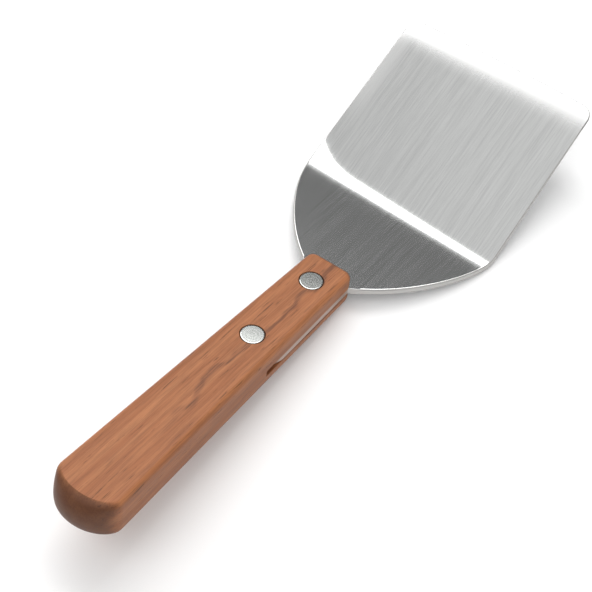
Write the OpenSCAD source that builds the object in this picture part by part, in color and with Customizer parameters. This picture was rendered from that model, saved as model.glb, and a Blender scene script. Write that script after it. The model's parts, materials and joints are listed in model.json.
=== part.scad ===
// Short kitchen turner: a stamped steel blade whose tang sits in the saw cut of a wooden handle,
// held by two cutler's rivets.
//
// Everything is drawn in the sheet's own frame first: x = 0 is where the bend starts, +x points to
// the leaf's front edge, z = 0 is the middle of the sheet, and the handle runs towards -x.
// The finished model is then turned and lifted to lie on the table, which is z = 0. It touches the
// table with the outside of the bend and with the front end of the handle's flat underside. The
// origin is the centre of the model's outline on the table.

/* [Blade] */
// Width of the leaf next to the bend
leaf_w = 64.2; // [48:0.1:90]
// How much narrower the leaf is at its front edge; below zero it flares
leaf_draw = 0.8; // [-12:0.2:12]
// Length of the flat leaf, from the bend to the middle of the front edge
leaf_len = 54.2; // [30:0.1:90]
// How far the middle of the front edge stands in front of its ends
front_bow = 0.5; // [0.1:0.1:4]
// Radius of the two front corners of the leaf
corner_r = 4; // [1:0.5:12]
// Thickness of the sheet in the tang, the shoulder and the bend
sheet_t = 2; // [1:0.1:2.6]
// Thickness of the front edge, which the leaf is ground down to
front_t = 0.6; // [0.3:0.1:1]
// Angle that the leaf is bent up from the shoulder
bend_angle = 26.5; // [10:0.5:45]
// Radius of the bend on its upper side
bend_r = 8.4; // [4:0.2:20]
// Length of the rounded shoulder, from the bend to the tip of its curve
shoulder_len = 35.8; // [26:0.1:50]
// Exponent of the shoulder's curve: 2 is an ellipse, less is straighter towards the handle
shoulder_power = 1.5; // [1.3:0.01:2.4]
// Distance from the shoulder's full width to the end of the bend
side_run = 0.4; // [0.2:0.1:1.5]

/* [Handle] */
// Distance from the bend to the front end of the handle
handle_set = 31.3; // [22:0.1:45]
// Length of the handle
handle_len = 109.8; // [85:0.1:140]
// Width of the handle at its front end
neck_w = 14.4; // [12:0.2:22]
// Width of the handle where its rounded butt starts
butt_w = 20; // [14:0.2:30]
// Height of the wood above the middle of the sheet, at the front end
neck_rise = 5.7; // [4.5:0.1:9]
// Height of the wood above the middle of the sheet, at the butt
butt_rise = 7.2; // [5:0.1:12]
// Depth of the wood below the middle of the sheet, at the front end
neck_drop = 5.8; // [4.5:0.1:9]
// Depth of the wood below the middle of the sheet, at the butt
butt_drop = 6.3; // [5:0.1:9]
// Radius along the upper edges of the handle, at its sides and its front end
top_edge_r = 1.7; // [0.4:0.1:2.4]
// Radius along the lower edges of the handle, at its sides and its front end
low_edge_r = 3.6; // [1:0.1:4.4]
// Radius of the two upright corners at the front end, seen from above
neck_corner_r = 2.5; // [0.5:0.1:5]
// Length of the rounded butt, seen from above
butt_len = 8.4; // [6:0.1:16]
// Distance that the flat top stops short of the end of the butt
butt_bulge = 3.7; // [1:0.1:4.3]
// Height of the furthest point of the butt from the middle of the sheet
butt_level = 0.7; // [-2:0.1:2]

/* [Tang and saw cut] */
// How far the tang's edges stand inside the sides of the handle
tang_in = 0.1; // [0:0.1:1.5]
// Length of the tang behind the middle of the rear rivet
tang_past_rivet = 4; // [3:0.1:25]
// Gap between the tip of the tang and the end of the saw cut
kerf_end_gap = 0.5; // [0:0.1:3]
// Gap in the saw cut below the tang
kerf_gap = 0.1; // [0:0.05:0.6]
// Radius of the saw blade that cut the slot
saw_r = 75; // [50:1:150]

/* [Rivets] */
// Distance from the front end of the handle to the front rivet
rivet_set = 10.3; // [7:0.1:14]
// Distance between the two rivets
rivet_pitch = 26.7; // [18:0.1:40]
// Diameter of the rivet heads
head_d = 6.5; // [5.4:0.1:8]
// Thickness of the rivet heads
head_t = 1.2; // [0.8:0.1:1.6]
// Gap around each head in its seat
head_gap = 0.3; // [0:0.05:0.5]
// Outside diameter of the rivet sleeves
sleeve_d = 4; // [3.4:0.1:4.8]
// Diameter of the rivet posts, which fill the sleeves
post_d = 2.6; // [1.6:0.1:3]
// Gap around each sleeve in the wood and in the tang
shank_gap = 0.1; // [0:0.05:0.3]
// Gap between the end of a sleeve and the head of its post
sleeve_end_gap = 0.5; // [0.1:0.1:1.5]
// Gap between the end of a post and the head of its sleeve
post_end_gap = 1.5; // [0.1:0.1:3]

/* [Hidden] */
$fn = 96;

// Small length by which cutters run past the faces that they cut
past = 1;
// Steps along the bend, one side of the shoulder, a leaf corner, the front edge and half of the
// round tang end
bend_steps = 24;
shoulder_steps = 36;
corner_steps = 12;
front_steps = 16;
tang_steps = 12;
// Steps along a handle corner and along the butt, seen from above
neck_steps = 4;
butt_steps = 28;
// Steps around the lower and the upper edges of the handle, and up the side between them
low_edge_steps = 5;
side_steps = 4;
top_edge_steps = 3;
// Smallest radius that a corner at the front end keeps where the edges' rounds eat into it
least_corner_r = 0.3;

steel = "silver";
rivet_metal = "gainsboro";
wood = "sienna";

// ---- where the sheet goes ----

// Outer radius of the bend
bend_outer_r = bend_r + sheet_t;
// The end of the bend on the sheet's upper face, where the leaf is full width
bend_end = [bend_r * sin(bend_angle), sheet_t / 2 + bend_r * (1 - cos(bend_angle))];

// Half width of the handle and of the tang at s behind the front end
butt_start = handle_len - butt_len;
function half_w(s) = (neck_w + (butt_w - neck_w) * s / butt_start) / 2;
function tang_half_w(s) = half_w(s) - tang_in;
side_slope = (butt_w - neck_w) / 2 / butt_start;

// Distance from the front end of the handle to each rivet
rivet_places = [rivet_set, rivet_set + rivet_pitch];

// Length of the tang inside the handle, and the radius of its round end, which meets its edges
tang_len = rivet_places[1] + tang_past_rivet;
tang_end_r = tang_half_w(tang_len) / (1 + side_slope);
kerf_len = tang_len + kerf_end_gap;

// Top and underside of the wood at s behind the front end
function between(front, butt, s) = front + (butt - front) * s / handle_len;
function rise(s) = between(neck_rise, butt_rise, s);
function drop(s) = between(neck_drop, butt_drop, s);

// How far the butt's end stands back at height z, a round of one radius seen from the side. The
// radius comes from the bulge, and is at least large enough to reach the underside.
bulge_r = (pow(butt_rise - butt_level, 2) + pow(butt_bulge, 2)) / (2 * butt_bulge);
butt_round_r = max(bulge_r, butt_drop + butt_level);
function butt_inset(z) = butt_round_r - sqrt(pow(butt_round_r, 2) - pow(z - butt_level, 2));

// ---- how the turner lies on the table ----

// Tilt at which a point back behind the bend and depth below the middle of the sheet lies as low
// as the outside of the bend; the handle lies on the point that needs the most
bend_centre_h = sheet_t / 2 + bend_r;
function touch_tilt(back, depth) =
    let (h = depth + bend_centre_h)
    acos(bend_outer_r / norm([back, h])) - atan2(back, h);

rest_tilt = max([for (ring = handle_rings(), p = ring) touch_tilt(-p[0], -p[2])]);
rest_lift = bend_outer_r - bend_centre_h * cos(rest_tilt);

// Upper and lower edge of the leaf at the middle of its front, seen from the side; the lower one is
// the point furthest to +x
leaf_way = [cos(bend_angle), sin(bend_angle)];
leaf_top_tip = bend_end + leaf_len * leaf_way;
leaf_tip = leaf_top_tip + front_t * [sin(bend_angle), -cos(bend_angle)];
function tilted_x(p) = p[0] * cos(rest_tilt) + p[1] * sin(rest_tilt);
far_x = tilted_x(leaf_tip);
near_x = min([for (ring = handle_rings(), p = ring) tilted_x([p[0], p[2]])]);

module at_rest() {
    translate([-(far_x + near_x) / 2, 0, rest_lift])
        rotate([0, rest_tilt, 0])
            children();
}

// ---- outlines ----

// Points of an arc about c, from angle a0 to a1
function arc(c, r, a0, a1, steps) =
    [for (i = [0:steps]) let (a = a0 + (a1 - a0) * i / steps) c + r * [cos(a), sin(a)]];

// One side's points on the other side, in the reverse order
function mirrored(points) =
    [for (i = [len(points) - 1:-1:0]) [points[i][0], -points[i][1]]];

// ---- blade ----

// Where the shoulder reaches its full width, seen from above, and how much the blade's sides draw
// in from there to the front edge
full_x = bend_end[0] - side_run;
side_draw = leaf_draw / 2 / (leaf_top_tip[0] - full_x);
front_w = leaf_w - leaf_draw;

// One side of the shoulder, seen from above, from where it leaves the tang to its full width
shoulder_start = asin(pow(2 * tang_half_w(0) / leaf_w, shoulder_power / 2));
function shoulder_side() = [
    for (i = [0:shoulder_steps])
        let (a = shoulder_start + (90 - shoulder_start) * i / shoulder_steps)
        [
            full_x - (shoulder_len + full_x) * pow(cos(a), 2 / shoulder_power),
            leaf_w / 2 * pow(sin(a), 2 / shoulder_power)
        ]
];

// The whole blade seen from above, from the tip of the tang to past the front edge. The tang's edge
// starts at the handle, unless the handle reaches over the shoulder.
module blade_outline() {
    tip = arc([tang_end_r - handle_set - tang_len, 0], tang_end_r, 180, 90, tang_steps);
    side = shoulder_side();
    neck = -handle_set < side[0][0] ? [[-handle_set, tang_half_w(0)]] : [];
    front_x = leaf_tip[0] + 2 * past;
    front = [front_x, leaf_w / 2 - (front_x - full_x) * side_draw];
    half = concat(tip, neck, side, [front]);
    polygon(concat(half, mirrored([for (i = [1:len(half) - 1]) half[i]])));
}

// The sheet seen from the side: flat, bent, then the leaf, ground on its underside so that it thins
// towards the front edge, and drawn past that edge for front_waste() to cut
function sheet_profile() =
    let (
        back = -handle_set - tang_len - past,
        centre = [0, bend_centre_h],
        bend_stop = bend_angle - 90,
        outer_bend = arc(centre, bend_outer_r, -90, bend_stop, bend_steps),
        underside = leaf_tip - outer_bend[bend_steps]
    )
    concat(
        [[back, sheet_t / 2], [back, -sheet_t / 2]],
        outer_bend,
        [leaf_tip + past * underside / norm(underside), leaf_top_tip + past * leaf_way],
        arc(centre, bend_r, bend_stop, -90, bend_steps)
    );

module bent_sheet() {
    rotate([90, 0, 0])
        linear_extrude(max(leaf_w, front_w) + 2 * past, center = true) polygon(sheet_profile());
}

// What is cut off the leaf in front of its bowed edge and its two round corners, seen square to it,
// with x = 0 at the bend. Each corner's round touches the bow and the leaf's side, and its first
// chord runs on past the side.
module front_waste() {
    draw_angle = atan(side_draw * cos(bend_angle));
    slope = tan(draw_angle);
    bow_r = (pow(front_w / 2, 2) + pow(front_bow, 2)) / (2 * front_bow);
    bow_x = leaf_len - bow_r;
    // The corner's centre is where a line beside the leaf's side meets a circle inside the bow
    side_y = front_w / 2 + leaf_len * slope - corner_r / cos(draw_angle);
    lean = 1 + pow(slope, 2);
    middle = (bow_x + slope * side_y) / lean;
    reach = pow(middle, 2) - (pow(bow_x, 2) + pow(side_y, 2) - pow(bow_r - corner_r, 2)) / lean;
    centre_x = middle + sqrt(reach);
    centre = [centre_x, side_y - slope * centre_x];
    bow_angle = atan2(centre[1], centre[0] - bow_x);

    round = arc(centre, corner_r, 90 - draw_angle, bow_angle, corner_steps);
    bow = arc([bow_x, 0], bow_r, bow_angle, -bow_angle, front_steps);
    corner = concat([2 * round[0] - round[1]], [for (i = [1:corner_steps - 1]) round[i]]);
    far = [leaf_len + 3 * past, front_w / 2 + past];
    polygon(concat([far], corner, bow, mirrored(corner), [[far[0], -far[1]]]));
}

module front_cut() {
    translate([bend_end[0], 0, bend_end[1]])
        rotate([0, -bend_angle, 0])
            translate([0, 0, -2 * sheet_t]) linear_extrude(4 * sheet_t) front_waste();
}

module blade() {
    color(steel) at_rest() difference() {
        intersection() {
            bent_sheet();
            translate([0, 0, -sheet_t])
                linear_extrude(leaf_top_tip[1] + past + 2 * sheet_t) blade_outline();
        }
        front_cut();
        for (s = rivet_places)
            translate([-handle_set - s, 0, -sheet_t])
                cylinder(d = sleeve_d + 2 * shank_gap, h = 2 * sheet_t);
    }
}

// ---- handle ----

// One ring around the handle: z_front and z_butt are its heights at the two ends, side_in how far it
// stands inside the widest outline at the sides and the front end, butt_in how far at the butt,
// which is flat where nothing is left of its length
function handle_ring(z_front, z_butt, side_in, butt_in) =
    let (
        r = max(neck_corner_r - side_in, least_corner_r),
        y_front = neck_w / 2 - side_in,
        butt_y = butt_w / 2 - side_in,
        butt_x = max(butt_len - butt_in, 0),
        neck = arc([side_in + r, y_front - r], r, 180, 90, neck_steps),
        butt = [
            for (i = [0:butt_steps])
                let (a = 90 - 180 * i / butt_steps)
                [butt_start + butt_x * cos(a), butt_y * sin(a)]
        ],
        outline = concat(neck, butt, mirrored(neck))
    )
    [for (p = outline) [-handle_set - p[0], p[1], between(z_front, z_butt, p[0])]];

// The rings from the underside to the top: the lower edge's round, the side, the upper edge's round
function handle_rings() = concat(
    [
        for (i = [0:low_edge_steps])
            let (a = 90 * (1 - i / low_edge_steps))
            let (up = low_edge_r * (1 - sin(a)), side_in = low_edge_r * (1 - cos(a)))
            handle_ring(-neck_drop + up, -butt_drop + up, side_in,
                butt_inset(-butt_drop + up) + side_in)
    ],
    [
        for (i = [1:side_steps - 1])
            let (
                f = i / side_steps,
                z_front = (neck_rise - top_edge_r) * f + (low_edge_r - neck_drop) * (1 - f),
                z_butt = (butt_rise - top_edge_r) * f + (low_edge_r - butt_drop) * (1 - f)
            )
            handle_ring(z_front, z_butt, 0, butt_inset(z_butt))
    ],
    [
        for (i = [0:top_edge_steps])
            let (a = 90 * i / top_edge_steps)
            let (down = top_edge_r * (1 - sin(a)), side_in = top_edge_r * (1 - cos(a)))
            handle_ring(neck_rise - down, butt_rise - down, side_in, butt_inset(butt_rise - down))
    ]
);

// A closed skin over rings that all have as many points
module loft(rings) {
    n = len(rings[0]);
    last = len(rings) - 1;
    walls = [
        for (k = [0:last - 1], i = [0:n - 1])
            let (a = k * n + i, b = k * n + (i + 1) % n)
            each [[a, a + n, b], [b, a + n, b + n]]
    ];
    floor_face = [for (i = [0:n - 1]) i];
    top_face = [for (i = [n - 1:-1:0]) last * n + i];
    polyhedron([for (ring = rings) each ring], concat(walls, [floor_face, top_face]));
}

// The saw cut: as high as the tang and its gap, with an end as round as the saw blade
module saw_cut() {
    translate([-handle_set, 0, -sheet_t / 2 - kerf_gap]) intersection() {
        translate([-kerf_len, -butt_w, 0]) cube([kerf_len + past, 2 * butt_w, sheet_t + kerf_gap]);
        translate([saw_r - kerf_len, 0, -past])
            cylinder(r = saw_r, h = sheet_t + kerf_gap + 2 * past, $fn = 360);
    }
}

// The hole for one rivet, with a seat for each of its heads
module rivet_hole(s) {
    seat_r = head_d / 2 + head_gap;
    translate([-handle_set - s, 0, 0]) {
        translate([0, 0, -drop(s) - past])
            cylinder(d = sleeve_d + 2 * shank_gap, h = rise(s) + drop(s) + 2 * past);
        translate([0, 0, rise(s) - head_t]) cylinder(r = seat_r, h = head_t + past);
        translate([0, 0, -drop(s) - past]) cylinder(r = seat_r, h = head_t + past);
    }
}

module handle() {
    color(wood) at_rest() difference() {
        loft(handle_rings());
        saw_cut();
        for (s = rivet_places) rivet_hole(s);
    }
}

// ---- rivets ----

// The half with the tube, whose head is in the top of the handle, at s behind its front end
module rivet_sleeve(s) {
    seat = rise(s) - head_t;
    foot = -drop(s) + head_t + sleeve_end_gap;
    color(rivet_metal) at_rest() translate([-handle_set - s, 0, 0]) difference() {
        union() {
            translate([0, 0, seat]) cylinder(d = head_d, h = head_t);
            translate([0, 0, foot]) cylinder(d = sleeve_d, h = seat + head_t - foot);
        }
        translate([0, 0, foot - past]) cylinder(d = post_d, h = seat - foot + past);
    }
}

// The half with the solid post, whose head is in the underside of the handle
module rivet_post(s) {
    foot = -drop(s);
    post_top = rise(s) - head_t - post_end_gap;
    color(rivet_metal) at_rest() translate([-handle_set - s, 0, foot]) union() {
        cylinder(d = head_d, h = head_t);
        cylinder(d = post_d, h = post_top - foot);
    }
}

module front_rivet_sleeve() { rivet_sleeve(rivet_places[0]); }
module front_rivet_post() { rivet_post(rivet_places[0]); }
module rear_rivet_sleeve() { rivet_sleeve(rivet_places[1]); }
module rear_rivet_post() { rivet_post(rivet_places[1]); }

blade();
handle();
front_rivet_sleeve();
front_rivet_post();
rear_rivet_sleeve();
rear_rivet_post();
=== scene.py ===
"""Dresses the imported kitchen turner: blade, handle, rivets, and the studio around them."""

import json
import math

import bmesh
import bpy
import numpy as np
from bpy.props import FloatProperty, FloatVectorProperty, PointerProperty
from bpy.types import Operator, Panel, PropertyGroup
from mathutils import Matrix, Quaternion, Vector
from mathutils.geometry import delaunay_2d_cdt


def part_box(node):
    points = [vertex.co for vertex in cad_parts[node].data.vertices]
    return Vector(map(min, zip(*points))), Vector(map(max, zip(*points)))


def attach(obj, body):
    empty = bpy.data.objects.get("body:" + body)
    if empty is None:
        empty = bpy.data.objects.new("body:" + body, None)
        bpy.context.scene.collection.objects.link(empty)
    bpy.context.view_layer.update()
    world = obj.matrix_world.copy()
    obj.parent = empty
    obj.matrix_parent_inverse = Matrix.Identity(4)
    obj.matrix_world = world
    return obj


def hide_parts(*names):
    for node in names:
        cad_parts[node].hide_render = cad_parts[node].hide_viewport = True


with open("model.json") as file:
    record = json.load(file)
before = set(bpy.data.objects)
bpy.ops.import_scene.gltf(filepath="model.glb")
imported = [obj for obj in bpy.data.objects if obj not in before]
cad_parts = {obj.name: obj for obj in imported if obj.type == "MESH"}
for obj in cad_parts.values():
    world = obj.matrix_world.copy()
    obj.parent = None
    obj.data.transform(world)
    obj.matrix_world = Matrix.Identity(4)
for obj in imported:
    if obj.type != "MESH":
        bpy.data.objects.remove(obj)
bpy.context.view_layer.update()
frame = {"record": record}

bl_info = {
    "name": "Kitchen turner",
    "version": (1, 0, 0),
    "blender": (4, 5, 0),
    "location": "3D View > Sidebar > Turner",
    "description": "Makes a short kitchen turner, and a studio for it",
    "category": "Add Mesh",
}

MM = 0.001


def plain(name, description, value, **kind):
    """A setting that is one number."""
    return FloatProperty(name=name, description=description, default=value, **kind)


def length(name, description, millimetres):
    """A length setting, given in millimetres and kept in metres."""
    return plain(name, description, millimetres * MM, unit="LENGTH", precision=5)


def angle(name, description, degrees):
    """An angle setting, given in degrees."""
    return plain(name, description, math.radians(degrees), subtype="ANGLE")


def triple(name, description, value, **kind):
    """A setting that is three numbers."""
    return FloatVectorProperty(name=name, description=description, default=value, **kind)


def colour(name, description, value):
    """A colour setting, in linear red, green and blue."""
    return triple(name, description, value, subtype="COLOR", min=0, max=1)


# ---- settings ----


class TurnerBladeSettings(PropertyGroup):
    """Sizes, shine and colours of the blade."""

    leaf_width: length("Leaf width", "Width of the leaf next to the bend", 64.2)
    leaf_draw: length("Leaf draw", "How much narrower the leaf is at its front edge", 0.8)
    leaf_length: length("Leaf length", "From the bend to the middle of the front edge", 54.2)
    front_bow: length("Front bow", "How far the middle of the front edge stands forward", 0.5)
    corner_radius: length("Corner radius", "Radius of the two front corners of the leaf", 4)
    thickness: length("Thickness", "Thickness of the sheet", 2)
    front_thickness: length("Front thickness", "Thickness that the leaf is ground down to", 0.6)
    bend_angle: angle("Bend angle", "Angle that the leaf is bent up from the shoulder", 26.5)
    bend_radius: length("Bend radius", "Radius of the bend on its upper side", 8.4)
    bend_lead: length("Bend lead", "How far behind the bend the sheet starts to curve", 3.6)
    bend_tail: length("Bend tail", "How far past the bend the sheet still curves", 0.0)
    shine_start: length("Shine start", "How far before the bend the shine starts", -0.15)
    shine_end: length("Shine end", "How far past the bend the shine ends", -0.75)
    start_slant: plain("Start slant", "Slant of the shine's start across the sheet", 0.033)
    end_slant: plain("End slant", "Slant of the shine's end across the sheet", 0.056)
    flare: length("Flare", "How far the shine runs out onto the leaf at the left side", 5.4)
    flare_run: length("Flare run", "Width of the strip in which the shine runs out", 17)
    shoulder_length: length("Shoulder length", "From the bend to the tip of its curve", 35.8)
    shoulder_power: plain("Shoulder power", "Exponent of the shoulder's curve", 1.5)
    side_run: length("Side run", "From the shoulder's full width to the end of the bend", 0.4)
    edge_radius: length("Edge radius", "Round that tumbling leaves on the stamped edges", 0.5)
    tang_edge_radius: length("Tang edge radius", "Round on the edges of the tang", 0.15)
    front_roll: length("Front roll", "How far the front edge is ground down", 0.22)
    front_roll_run: length("Front roll run", "Width of the rolled strip along the front edge", 11)
    front_shine: angle("Front shine", "How far the front edge leans forward", 3.2)
    shine_run: length("Shine run", "Width of the ground strip that leans forward", 11)
    side_roll: length("Side roll", "How far the sides are polished down", 0.05)
    side_roll_run: length("Side roll run", "Width of the rolled strip along the sides", 4)
    steel: colour("Steel", "Colour of the brushed steel", (0.56, 0.565, 0.56))
    tang_steel: colour("Tang steel", "Colour of the tang's edges in the wood", (0.42, 0.32, 0.27))
    edge_steel: colour("Edge steel", "Colour of the tumbled edges", (0.5, 0.49, 0.475))
    # Painted sheen: the paler colour of the ground front strip and of the strip along the leaf's
    # left side
    painted_sheen_steel: colour("Ground steel", "Colour of the ground steel", (0.7, 0.7, 0.695))
    # Painted shade: the thin front edge, seen end on, is darkened so that it shows as a line
    front_edge_painted_shade: colour("Keen edge", "Colour of the thin front edge, end on", (0.1, 0.095, 0.09))


class TurnerHandleSettings(PropertyGroup):
    """Sizes and colours of the handle."""

    front: length("Front", "From the bend to the front end of the handle", 31.3)
    length: length("Length", "Length of the handle", 109.8)
    neck_width: length("Neck width", "Width at the front end", 14.4)
    butt_width: length("Butt width", "Width where the rounded butt starts", 20)
    neck_rise: length("Neck rise", "Wood above the middle of the sheet, at the front end", 5.7)
    butt_rise: length("Butt rise", "Wood above the middle of the sheet, at the butt", 7.2)
    neck_drop: length("Neck drop", "Wood below the middle of the sheet, at the front end", 5.8)
    butt_drop: length("Butt drop", "Wood below the middle of the sheet, at the butt", 6.3)
    top_round: length("Upper edge round", "Radius along the upper edges", 1.7)
    low_round: length("Lower edge round", "Radius along the lower edges", 3.6)
    neck_round: length("Neck corner round", "Radius of the two upright front corners", 2.5)
    butt_length: length("Butt length", "Length of the rounded butt, seen from above", 8.4)
    butt_bulge: length("Butt bulge", "Distance that the flat top stops short of the end", 3.7)
    butt_level: length("Butt level", "Height of the furthest point of the butt", 0.7)
    tang_in: length("Tang inset", "How far the tang lies inside the sides of the wood", 0.1)
    tang_past_rivet: length("Tang end", "Length of the tang behind the rear rivet", 4)
    kerf_end_gap: length("Cut end gap", "Gap between the tang and the end of the saw cut", 0.5)
    kerf_gap: length("Cut gap", "Gap in the saw cut below the tang", 0.1)
    saw_radius: length("Saw radius", "Radius of the saw blade that cut the slot", 75)
    wood: colour("Wood", "Main colour of the oiled wood", (0.43, 0.168, 0.068))
    wood_dark: colour("Dark grain", "Colour of the darker growth bands", (0.33, 0.117, 0.045))
    heart_streak: colour("Heart streak", "Colour of the one dark streak", (0.15, 0.056, 0.028))
    # Part end grain, part painted shade on the butt end that faces away from the light
    end_grain_and_shade: colour("End grain", "Colour of the wood where its fibres end", (0.07, 0.03, 0.018))
    pores: colour("Pores", "Colour of the open pores", (0.09, 0.035, 0.018))


class TurnerRivetSettings(PropertyGroup):
    """Sizes and finish of the rivets."""

    front: length("Front rivet", "From the front end of the handle to the first rivet", 10.3)
    pitch: length("Pitch", "Distance between the two rivets", 26.7)
    head: length("Head", "Diameter of the heads", 6.5)
    head_thickness: length("Head thickness", "Thickness of the heads", 1.2)
    head_gap: length("Seat gap", "Gap around each head in its seat", 0.3)
    head_crown: length("Head crown", "How far a head's rim lies below its middle", 0.02)
    sleeve: length("Sleeve", "Outside diameter of the tubular halves", 4)
    post: length("Post", "Diameter of the solid halves", 2.6)
    shank_gap: length("Shank gap", "Gap around each sleeve in the wood and in the tang", 0.1)
    sleeve_end_gap: length("Sleeve end gap", "Gap between a sleeve and the head of its post", 0.5)
    post_end_gap: length("Post end gap", "Gap between a post and the head of its sleeve", 1.5)
    metal: colour("Metal", "Colour of the aluminium", (0.57, 0.585, 0.565))
    ring: length("Ring spacing", "Distance between the rings that turning leaves", 0.9)
    front_roughness: plain("Front roughness", "Roughness of the front rivet", 0.19)
    rear_roughness: plain("Rear roughness", "Roughness of the rear rivet", 0.23)


class TurnerStageSettings(PropertyGroup):
    """Floor, light and camera."""

    paper: colour("Paper", "Colour of the floor", (1.0, 1.0, 1.0))
    paper_size: length("Paper size", "Length of each side of the floor", 6000)
    paper_share: plain("Paper glow", "Share of the paper that shows as plain white", 0.1)
    paper_bounce: plain("Paper bounce", "Share of the light that the paper throws back", 0.8)
    softbox: plain("Softbox", "Brightness of the softbox over the far side", 4.0)
    ceiling: plain("Ceiling", "Brightness of the room overhead", 1.0)
    card: plain("Card", "Brightness of the white card on the right side", 0.6)
    panel: plain("Panel", "Brightness of the panel over the near side", 1.6)
    cove: plain("Cove", "Brightness of the cove behind the far left side", 1.0)
    walls: plain("Walls", "Brightness of the room low down", 0.23)
    lens: plain("Lens", "Focal length in millimetres", 109.4)
    camera_place: triple(
        "Camera place",
        "Where the camera stands",
        (-0.248551, -0.172639, 0.395771),
        subtype="TRANSLATION",
        unit="LENGTH",
    )
    camera_way: triple(
        "Camera direction",
        "Which way the camera looks",
        (0.501156, 0.355678, -0.788883),
        subtype="DIRECTION",
    )
    camera_roll: angle("Camera roll", "Turn of the camera about its line of sight", 1.312)


class TurnerSettings(PropertyGroup):
    """All settings of the turner."""

    blade: PointerProperty(type=TurnerBladeSettings)
    handle: PointerProperty(type=TurnerHandleSettings)
    rivets: PointerProperty(type=TurnerRivetSettings)
    stage: PointerProperty(type=TurnerStageSettings)


# ---- the sheet's frame and the row frame ----


def bend_end(blade):
    """End of the bend on the upper face, along the sheet and above its middle."""
    r, a = blade.bend_radius, blade.bend_angle
    return np.array([r * math.sin(a), blade.thickness / 2 + r * (1 - math.cos(a))])


def leaf_tips(blade):
    """Upper and lower corner of the leaf's front edge, seen from the side."""
    a = blade.bend_angle
    upper = bend_end(blade) + blade.leaf_length * np.array([math.cos(a), math.sin(a)])
    return upper, upper + blade.front_thickness * np.array([math.sin(a), -math.cos(a)])


class Rest:
    """How the turner lies on the table: turns the sheet's frame into the row frame."""

    def __init__(self, blade):
        mounts = {m["name"]: m for m in frame["record"]["mounts"]}
        axis = mounts["leaf_top"]["axis"]
        self.tilt = blade.bend_angle - math.atan2(-axis[0], axis[2])
        upper, lower = leaf_tips(blade)
        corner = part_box("blade")[1]
        self.ahead = corner.x - self.turn(*lower)[0]
        self.above = corner.z - self.turn(*upper)[1]

    def turn(self, x, z):
        """A direction seen from the side, turned by the tilt."""
        c, s = math.cos(self.tilt), math.sin(self.tilt)
        return x * c + z * s, -x * s + z * c

    def directions(self, rows):
        """Rows of x, y, z, turned by the tilt."""
        rows = np.asarray(rows, float)
        x, z = self.turn(rows[:, 0], rows[:, 2])
        return np.stack([x, rows[:, 1], z], axis=1)

    def points(self, rows):
        """Rows of x, y, z, turned by the tilt and moved to where they rest."""
        return self.directions(rows) + (self.ahead, 0, self.above)


# ---- mesh helpers ----


def arc(centre, radius, start, stop, steps):
    """Points of an arc, with the angles in radians."""
    return [
        (centre[0] + radius * math.cos(a), centre[1] + radius * math.sin(a))
        for a in np.linspace(start, stop, steps + 1)
    ]


def bands(first, size, count):
    """Faces between neighbouring rings of one size, from the first point of the first ring."""
    return [
        (a + i, a + size + i, a + size + (i + 1) % size, a + (i + 1) % size)
        for a in range(first, first + (count - 1) * size, size)
        for i in range(size)
    ]


def add_piece(name, points, faces, material):
    """A new mesh object in the scene, shaded smooth."""
    mesh = bpy.data.meshes.new(name)
    mesh.from_pydata([tuple(p) for p in points], [], faces)
    mesh.validate()
    mesh.update()
    mesh.materials.append(material)
    piece = bpy.data.objects.new(name, mesh)
    bpy.context.scene.collection.objects.link(piece)
    mesh.shade_smooth()
    return piece


def cut(piece, cutter):
    """Takes the cutter out of the piece, and the cutter out of the scene."""
    modifier = piece.modifiers.new("Cut", "BOOLEAN")
    modifier.operation = "DIFFERENCE"
    modifier.solver = "EXACT"
    modifier.object = cutter
    bpy.context.view_layer.update()
    whole, tool = piece.data, cutter.data
    seen = piece.evaluated_get(bpy.context.evaluated_depsgraph_get())
    left = bpy.data.meshes.new_from_object(seen)
    left.name = whole.name
    piece.modifiers.remove(modifier)
    piece.data = left
    bpy.data.objects.remove(cutter)
    bpy.data.meshes.remove(whole)
    bpy.data.meshes.remove(tool)


def outward(piece):
    """Turns all faces of a closed piece outwards."""
    work = bmesh.new()
    work.from_mesh(piece.data)
    bmesh.ops.recalc_face_normals(work, faces=work.faces)
    work.to_mesh(piece.data)
    work.free()


def sharpen(piece, degrees):
    """Keeps edges over the angle crisp and lets large faces stay flat."""
    piece.data.shade_smooth()
    piece.data.set_sharp_from_angle(angle=math.radians(degrees))
    modifier = piece.modifiers.new("Flat faces", "WEIGHTED_NORMAL")
    modifier.keep_sharp = True
    modifier.weight = 100


def finish_piece(piece, node):
    """Hangs a piece on the body in the place of its CAD node."""
    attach(piece, "root")
    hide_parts(node)


# ---- blade shape ----

EDGE_STEPS = 7  # rings from a face of the sheet to the middle of its edge
EDGE_SHARE = 0.42  # the most of the thickness that a round on an edge takes
HOLE_EDGE = 0.0001  # round on the edges of the rivet holes
# How many points or steps each stretch of the outline has
HOLE_POINTS, SHOULDER_POINTS, SIDE_POINTS, TANG_POINTS = 32, 150, 140, 14
TIP_STEPS, CORNER_STEPS, FRONT_STEPS = 16, 14, 24

# Where the points inside the blade lie: start, end and step, along it and across its left half
ALONG_TANG = (-0.07, -0.004, 0.004)
ALONG_BEND = (-0.004, 0.0095, 0.00045)
LEAF_START, LEAF_STEP = 0.0105, 0.0022
ACROSS_MIDDLE = (0, 0.027, 0.003)
ACROSS_SIDE = (0.0275, 0.032, 0.0006)
# How far those points stay from the sides, the tang's tip, the front edge and the holes
CLEAR = (0.00035, 0.0006, 0.0012, 0.0006)
CLEAR_CORNER = 0.0002  # how far the points of a side stay behind the round corner


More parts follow.
